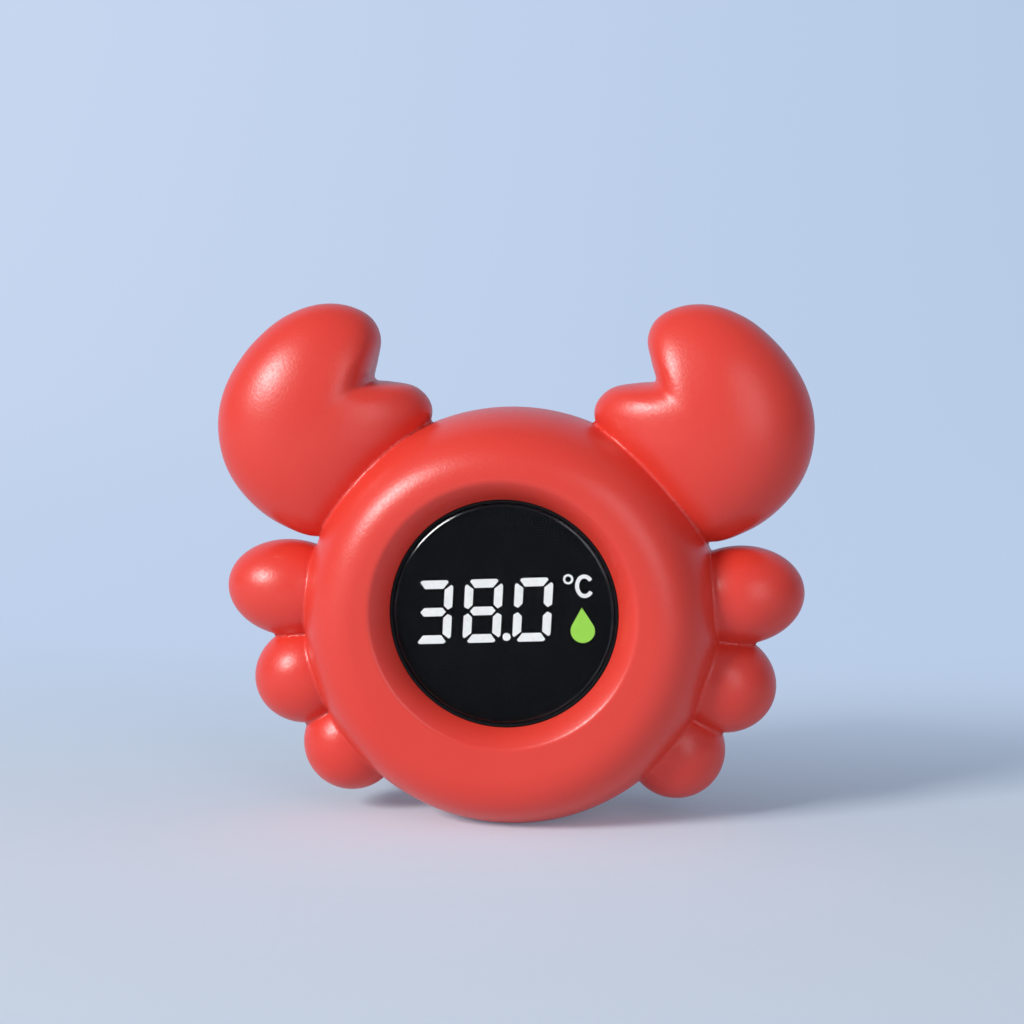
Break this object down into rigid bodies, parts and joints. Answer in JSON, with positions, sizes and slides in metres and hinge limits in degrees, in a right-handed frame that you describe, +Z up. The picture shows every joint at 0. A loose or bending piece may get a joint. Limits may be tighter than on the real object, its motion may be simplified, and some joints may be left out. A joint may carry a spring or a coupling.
{
  "type": "bath thermometer",
  "caption": "Crab-shaped bath thermometer with a round dark display window, a raised claw on each side, short rounded legs and a flat spot underneath to stand on.",
  "frame": {"origin": "on the surface that the body stands on, under the middle of the body", "axes": "+Z up, +X towards the claw on the right as the display is read, and the display faces -Y"},
  "size_m": [0.1106, 0.036, 0.0956],
  "materials": {
    "shell": "satin coral red, fine moulded grain",
    "lens": "clear and polished",
    "mask": "black film",
    "digits": "white, lit from behind",
    "droplet": "green, lit from behind",
    "reflector": "white",
    "rubber": "matt black",
    "board": "green solder mask",
    "chip": "black resin",
    "steel": "stainless",
    "nickel": "nickel plated",
    "bead": "dark resin bead",
    "lead": "light grey insulation"
  },
  "bodies": {
    "root": {"front_shell": "shell", "rear_shell": "shell", "body_seal": "rubber", "display_lens": "lens", "lens_seal": "rubber", "display_mask": "mask", "digit_light_guide": "digits", "droplet_light_guide": "droplet", "display_reflector": "reflector", "circuit_board": "board", "board_screw_upper": "steel", "board_screw_lower": "steel", "controller_chip": "chip", "shell_screw_1": "steel", "shell_screw_2": "steel", "shell_screw_3": "steel", "shell_screw_4": "steel", "coin_cell": "steel", "cell_plus_contact": "nickel", "cell_minus_contact": "nickel", "battery_door": "shell", "door_seal": "rubber", "door_screw_1": "steel", "door_screw_2": "steel", "door_screw_3": "steel", "probe_cap": "steel", "probe_seal": "rubber", "temperature_sensor": "bead", "sensor_lead": "lead", "water_pin_left": "steel", "water_pin_right": "steel"}
  },
  "joints": []
}
